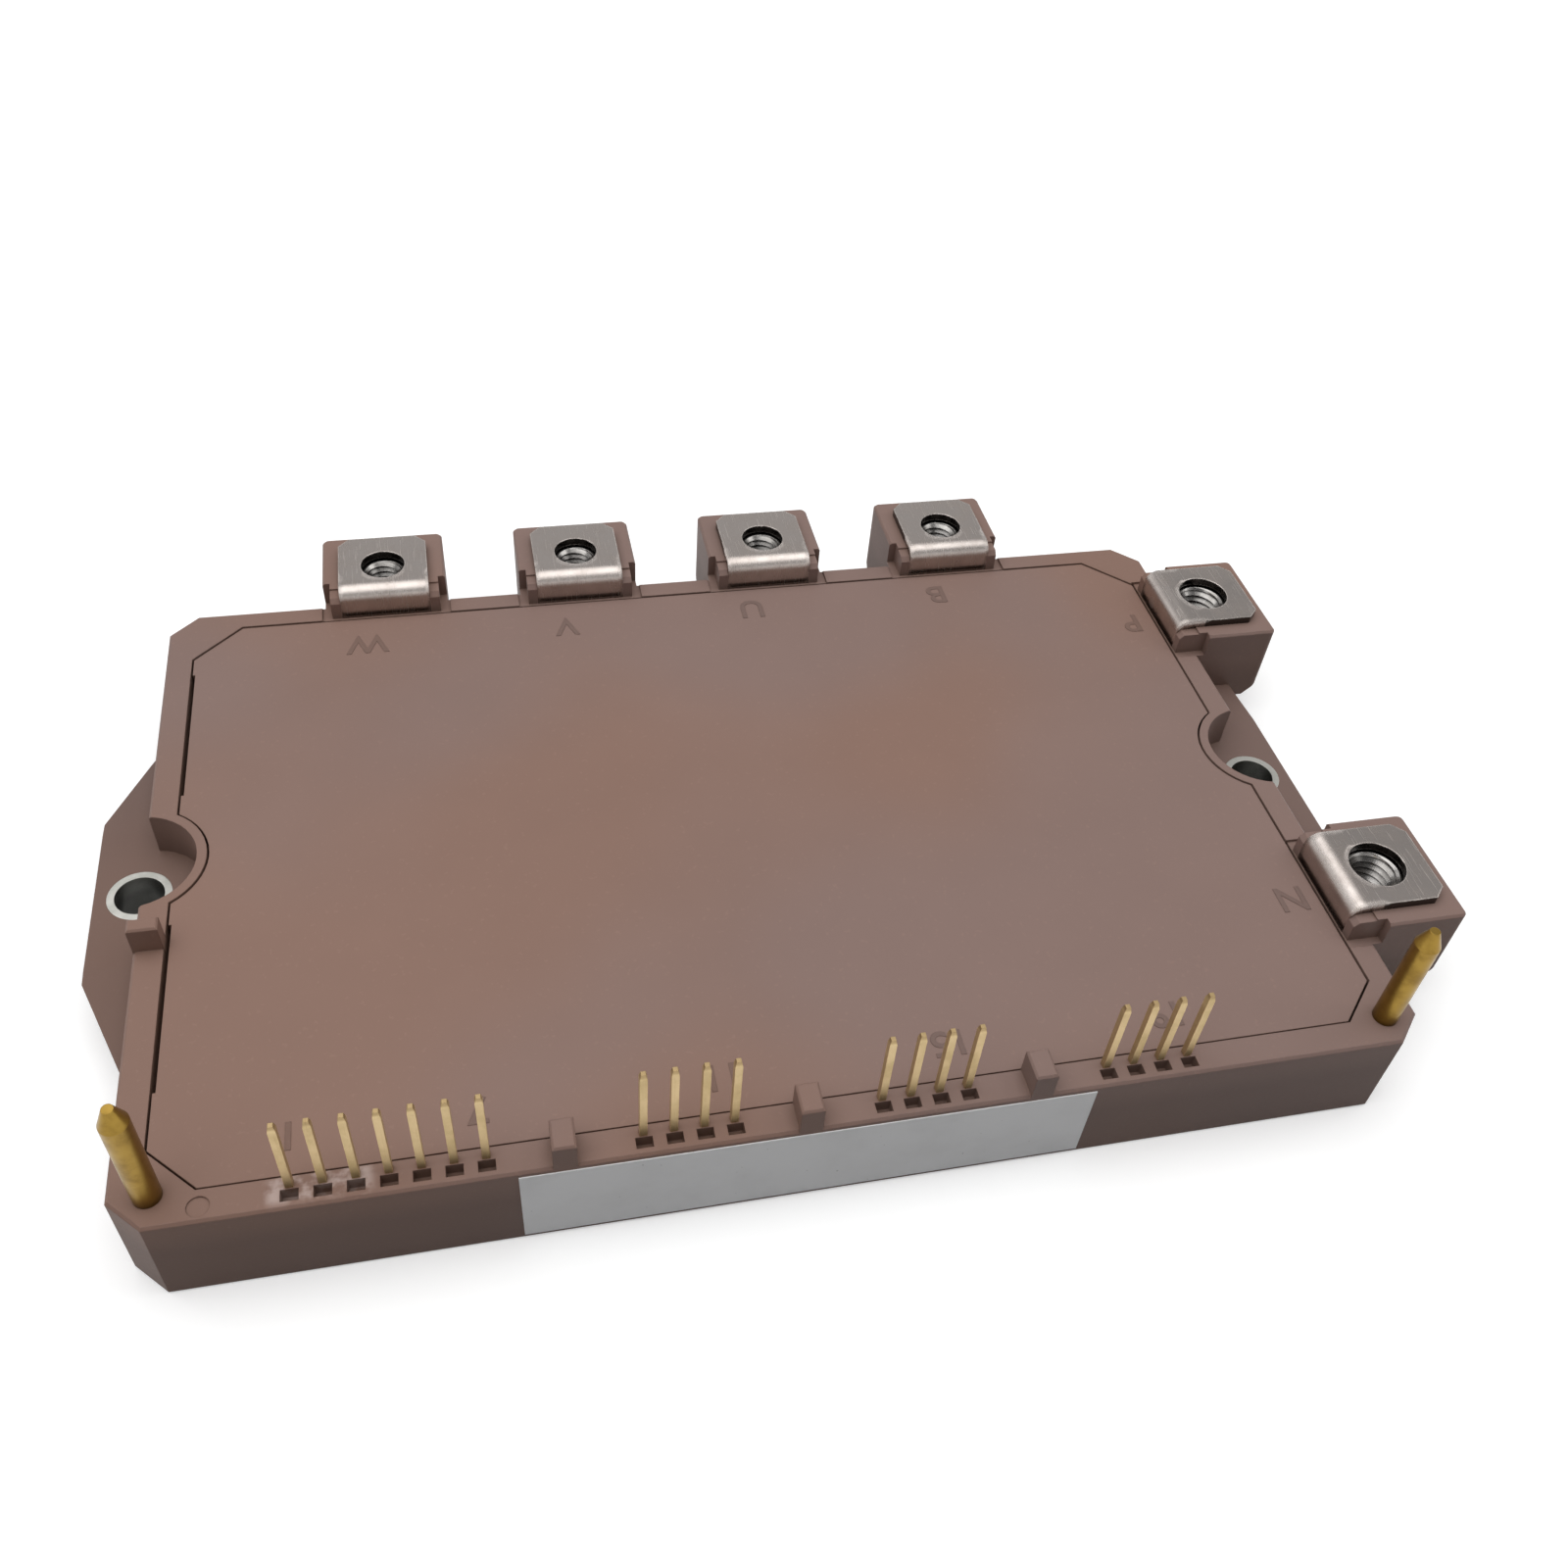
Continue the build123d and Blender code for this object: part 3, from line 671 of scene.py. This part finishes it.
def label_finish():
    """Matt white film with smudges, a few dark specks and slightly grey borders."""
    material, tree, shader = new_material("label_paper")
    place = add_node(tree, "TexCoord").outputs["Object"]
    smudges = step(tree, noise(tree, place, 160.0, 4.0, 0.6), 0.42, 0.72)
    specks = step(tree, noise(tree, place, 2600.0, 1.0), 0.74, 0.78)
    edges = place_group(tree, edge_wear_and_highlight, Width=0.10 * MM)
    colour = mix(tree, calc(tree, "MULTIPLY", smudges, 0.55), LABEL_WHITE, LABEL_SMUDGE)
    colour = mix(tree, calc(tree, "MULTIPLY", specks, 0.5), colour, shade(LABEL_SMUDGE, 0.5))
    colour = mix(tree, calc(tree, "MULTIPLY", edges["Edge"], 0.3), colour, shade(LABEL_SMUDGE, 0.8))
    feed(tree, shader.inputs["Base Color"], colour)
    feed(tree, shader.inputs["Roughness"], calc(tree, "MULTIPLY_ADD", smudges, 0.1, 0.5))
    fibres = noise(tree, place, 5000.0, 2.0)
    bump = add_node(tree, "Bump", Height=fibres, Normal=edges["Normal"])
    bump.inputs["Strength"].default_value = 0.08
    bump.inputs["Distance"].default_value = 0.01 * MM
    feed(tree, shader.inputs["Normal"], bump.outputs["Normal"])
    return material


# %% Board
LAMINATE_GREEN = (0.012, 0.075, 0.035, 1.0)
WEAVE_SCALE = 1400.0


def board_finish():
    """Green lacquered laminate in which the glass weave shows faintly."""
    material, tree, shader = new_material("board_laminate")
    place = add_node(tree, "TexCoord").outputs["Object"]
    weave = None
    for way in ("X", "Y"):
        bands = add_node(tree, "TexWave", {"bands_direction": way}, Vector=place, Scale=WEAVE_SCALE)
        bands.inputs["Distortion"].default_value = 0.6
        band = bands.outputs["Fac"]
        weave = band if weave is None else calc(tree, "MULTIPLY", weave, band)
    clouds = noise(tree, place, 120.0, 3.0)
    cloudy_weave = calc(tree, "MULTIPLY_ADD", weave, 0.4, clouds)
    colour = mix(tree, cloudy_weave, shade(LAMINATE_GREEN, 0.7), shade(LAMINATE_GREEN, 1.4))
    feed(tree, shader.inputs["Base Color"], colour)
    feed(tree, shader.inputs["Roughness"], calc(tree, "MULTIPLY_ADD", weave, 0.1, 0.26))
    bump = add_node(tree, "Bump", Height=weave)
    bump.inputs["Strength"].default_value = 0.15
    bump.inputs["Distance"].default_value = 0.01 * MM
    feed(tree, shader.inputs["Normal"], bump.outputs["Normal"])
    return material


# %% All finishes by slot
BASE_NICKEL, BASE_STAIN = (0.56, 0.55, 0.53, 1.0), (0.46, 0.45, 0.43, 1.0)
GROUND_LINES = (90.0, 3500.0, 3500.0)
CERAMIC_WHITE = (0.72, 0.71, 0.67, 1.0)
SILICON_GREY = (0.05, 0.052, 0.06, 1.0)
CIRCUIT_BLACK = (0.018, 0.018, 0.019, 1.0)
GEL_PALE = (0.52, 0.52, 0.47, 1.0)
finishes = {
    "case_plastic": case_plastic,
    "lid_plastic": lid_plastic,
    "terminal_metal": back_strip,
    "pin_metal": pin_metal,
    "label_paper": label_finish(),
    "base_metal": strip_metal("base_metal", BASE_NICKEL, BASE_STAIN, 0.36, GROUND_LINES),
    "substrate_ceramic": moulded("substrate_ceramic", CERAMIC_WHITE, 0.42, 0.15),
    "chip_silicon": moulded("chip_silicon", SILICON_GREY, 0.18, 0.03),
    "board_laminate": board_finish(),
    "ic_plastic": moulded("ic_plastic", CIRCUIT_BLACK, 0.50, 0.3),
    "gel_silicone": moulded("gel_silicone", GEL_PALE, 0.12, 0.05),
}
print("finishes:", list(finishes))

# %% Finishes on the CAD nodes
slots = {part["node"]: part["material_slot"] for part in frame["record"]["subparts"]}


def finish_for(node_name):
    """The finish of a node: side terminals and turned parts have their own direction or centre."""
    if node_name in ("terminal_n", "terminal_p"):
        return side_strip
    slot = slots[node_name]
    return turned_finish(node_name, slot) if slot in TURNED else finishes[slot]


node_finishes = {node_name: finish_for(node_name) for node_name in nodes}
for node_name, node in nodes.items():
    node.data.materials.clear()
    node.data.materials.append(node_finishes[node_name])
print(len(node_finishes), "nodes painted with", len(set(node_finishes.values())), "finishes")


# %% [markdown]
# ## Threaded nuts
#
# Under each terminal plate sits a captive nut, and through the plate's hole its thread
# catches the light. The CAD has the nut with a plain bore. A thread could be faked with
# bump, but its silhouette shows at the hole's rim, so it is cut in geometry here: a zigzag
# profile is spun once round the axis while it climbs by one pitch. The four nuts at the
# back are M4 and the two larger ones on the right are M5. The shape is worked out in
# millimetres and scaled at the end, because the fill operator can't tell points apart
# that are only a few hundredths of a millimetre from each other in metres.

# %% Nut
THREADS = {
    "M4": {"pitch": 0.7, "depth": 0.36, "inner": 1.65},
    "M5": {"pitch": 0.8, "depth": 0.42, "inner": 2.1},
}
THREAD_STEPS = 64
THREAD_SPARE = 2.3
COUNTERSINK = 0.45
MERGE_REACH = 0.005


def thread_wall(shape, height, pitch, depth, inner):
    """Helical inner wall with a countersink at both ends, and spare turns to be cut off."""
    turns = int(height / pitch) + 4
    start = -height / 2 - THREAD_SPARE * pitch
    profile = [(inner + depth * (k % 2), start + k * pitch / 2) for k in range(2 * turns + 1)]
    rim = [shape.verts.new((radius, 0, z)) for radius, z in profile]
    for low, high in zip(rim, rim[1:]):
        shape.edges.new((low, high))
    bmesh.ops.spin(
        shape, geom=shape.verts[:] + shape.edges[:], cent=(0, 0, 0), axis=(0, 0, 1),
        dvec=(0, 0, pitch / THREAD_STEPS), angle=math.tau, steps=THREAD_STEPS, use_merge=False,
    )
    bmesh.ops.remove_doubles(shape, verts=shape.verts, dist=MERGE_REACH)
    flanks = [e for e in shape.edges if abs(e.verts[0].co.z - e.verts[1].co.z) > pitch / 4]
    bmesh.ops.subdivide_edges(shape, edges=flanks, cuts=1)
    for vertex in shape.verts:
        past = abs(vertex.co.z) - (height / 2 - COUNTERSINK)
        radius = vertex.co.xy.length
        if past > 0 and radius < inner + past:
            vertex.co.xy *= (inner + past) / radius


def threaded_nut(name, node_name, kind):
    """Hexagon nut with a helical thread, in place of its plain CAD node."""
    low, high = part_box(node_name)
    middle, size = (low + high) / 2, (high - low) / MM
    shape = bmesh.new()
    thread_wall(shape, size.z, **THREADS[kind])
    for level, side in ((size.z / 2, 1), (-size.z / 2, -1)):
        everything = shape.verts[:] + shape.edges[:] + shape.faces[:]
        bmesh.ops.bisect_plane(
            shape, geom=everything, plane_co=(0, 0, level), plane_no=(0, 0, side), clear_outer=True
        )
    corner_radius = min(size.x, size.y) / math.sqrt(3)
    turned = math.radians(30 if size.y < size.x else 0)
    bmesh.ops.create_cone(
        shape, cap_ends=False, segments=6, radius1=corner_radius, radius2=corner_radius, depth=size.z,
        matrix=Matrix.Rotation(turned, 4, "Z"),
    )
    for level in (size.z / 2, -size.z / 2):
        open_rims = [e for e in shape.edges if e.is_boundary]
        rims = [e for e in open_rims if all(abs(v.co.z - level) < 0.001 for v in e.verts)]
        bmesh.ops.triangle_fill(shape, edges=rims, use_beauty=True)
    bmesh.ops.recalc_face_normals(shape, faces=shape.faces)
    place = Matrix.Translation(middle) @ Matrix.Scale(MM, 4)
    bmesh.ops.transform(shape, verts=shape.verts, matrix=place)
    open_edges = sum(not edge.is_manifold for edge in shape.edges)
    mesh = bpy.data.meshes.new(name)
    shape.to_mesh(mesh)
    shape.free()
    nut = bpy.data.objects.new(name, mesh)
    scene.collection.objects.link(nut)
    nut.data.materials.append(node_finishes[node_name])
    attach(nut, "root")
    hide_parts(node_name)
    return nut, open_edges


for node_name in sorted(name for name in nodes if name.startswith("nut_")):
    kind = "M5" if node_name in ("nut_n", "nut_p") else "M4"
    nut, open_edges = threaded_nut("threaded_" + node_name, node_name, kind)
    print(nut.name, kind, len(nut.data.polygons), "faces,", open_edges, "open edges")


# %% [markdown]
# ## Marks moulded into the lid
#
# Beside each terminal the lid names it with one letter, and small numbers count the
# control pins. They read from the back of the module. Such marks stand up by a few
# hundredths of a millimetre, so that fingers and ink can't wear them off. Text objects
# draw them, and each is made a mesh before it is put in its place.

# %% Lid marks
LID_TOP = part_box("lid")[1].z
MARK_RISE = 0.05 * MM
MARK_ROOT = 0.03 * MM
LETTER_SIZE, NUMBER_SIZE = 4.2 * MM, 3.7 * MM
STROKE_GROWTH = 0.06 * MM
LETTERS = {
    "W": (-35.8, 30.4), "V": (-14.1, 30.7), "U": (7.2, 31.2),
    "B": (29.5, 31.2), "N": (51.1, -19.6), "P": (51.1, 23.1),
}
NUMBERS = {
    "1": (-43.0, -30.5), "7": (-27.9, -30.6), "11": (-7.4, -30.7),
    "15": (12.9, -30.5), "19": (33.4, -30.7),
}
# Painted shade: the marks are coloured darker than the lid, for the shading of their low relief.
mark_plastic = moulded("mark_plastic", shade(TAUPE, 0.78), 0.55, gloss=TAUPE_GLOSS)


def lid_mark(text, at, size):
    """One raised mark, turned to read from the back of the module."""
    curve = bpy.data.curves.new("mark_" + text.lower(), "FONT")
    curve.body = text
    curve.size = size
    curve.extrude = (MARK_RISE + MARK_ROOT) / 2
    curve.offset = STROKE_GROWTH
    curve.align_x, curve.align_y = "CENTER", "CENTER"
    curve.resolution_u = 4
    written = bpy.data.objects.new("written", curve)
    mesh = bpy.data.meshes.new_from_object(written)
    bpy.data.objects.remove(written)
    mesh.name = "mark_" + text.lower()
    shape = bmesh.new()
    shape.from_mesh(mesh)
    bmesh.ops.remove_doubles(shape, verts=shape.verts, dist=0.001 * MM)
    bmesh.ops.recalc_face_normals(shape, faces=shape.faces)
    height = LID_TOP + (MARK_RISE - MARK_ROOT) / 2
    place = Matrix.Translation((at[0] * MM, at[1] * MM, height)) @ Matrix.Rotation(math.pi, 4, "Z")
    bmesh.ops.transform(shape, verts=shape.verts, matrix=place)
    open_edges = sum(not edge.is_manifold for edge in shape.edges)
    shape.to_mesh(mesh)
    shape.free()
    mesh.materials.clear()
    mesh.materials.append(mark_plastic)
    mark = bpy.data.objects.new(mesh.name, mesh)
    scene.collection.objects.link(mark)
    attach(mark, "root")
    return open_edges


for marks, size in ((LETTERS, LETTER_SIZE), (NUMBERS, NUMBER_SIZE)):
    open_edges = [lid_mark(text, at, size) for text, at in marks.items()]
    print("marks", list(marks), "open edges:", open_edges)

# %% [markdown]
# ## The colour view
#
# The colours are meant to come out as they are written, so the view is Standard.

# %% Finish
scene.view_settings.view_transform = "Standard"
